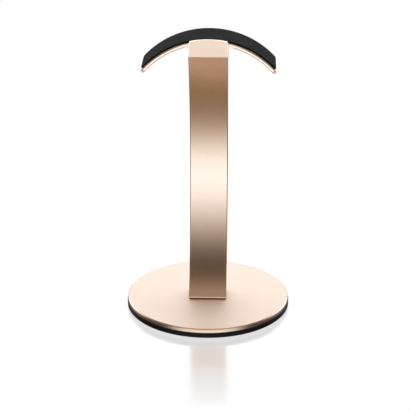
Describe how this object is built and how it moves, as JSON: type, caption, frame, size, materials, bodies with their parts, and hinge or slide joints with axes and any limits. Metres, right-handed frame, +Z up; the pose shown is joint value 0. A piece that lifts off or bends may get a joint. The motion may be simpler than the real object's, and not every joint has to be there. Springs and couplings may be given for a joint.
{
  "type": "headphone stand",
  "caption": "Free-standing headphone stand: weighted round base, bowed flat stem and an arched saddle with a soft pad for the headband.",
  "frame": {"origin": "centre of the round footprint, on the surface that the stand rests on", "axes": "+Z up, +X to the right, -Y towards the viewer of the front (the concave side of the stem)"},
  "size_m": [0.1306, 0.1306, 0.2189],
  "materials": {
    "champagne_metal": "bead-blasted and anodised champagne gold, bright bevels",
    "black_plastic": "satin moulded black",
    "black_rubber": "matte black",
    "pad_rubber": "soft-touch black with a fine moulded grain",
    "foam_tape": "matte off-white foam tape",
    "adhesive_film": "thin translucent film",
    "zinc_steel": "zinc-plated sheet",
    "black_steel": "black oxide",
    "bright_steel": "ground"
  },
  "bodies": {
    "root": {"base_plate": "champagne_metal", "base_tray": "black_plastic", "ballast_tape": "foam_tape", "ballast_disc": "zinc_steel", "mat_film": "adhesive_film", "anti_slip_mat": "black_rubber", "tray_screws": "black_steel", "stem": "champagne_metal", "stem_gasket": "black_rubber", "stem_screws": "black_steel", "stem_dowels": "bright_steel", "saddle_plate": "champagne_metal", "saddle_screws": "black_steel", "pad_film": "adhesive_film", "saddle_pad": "pad_rubber"}
  },
  "joints": []
}
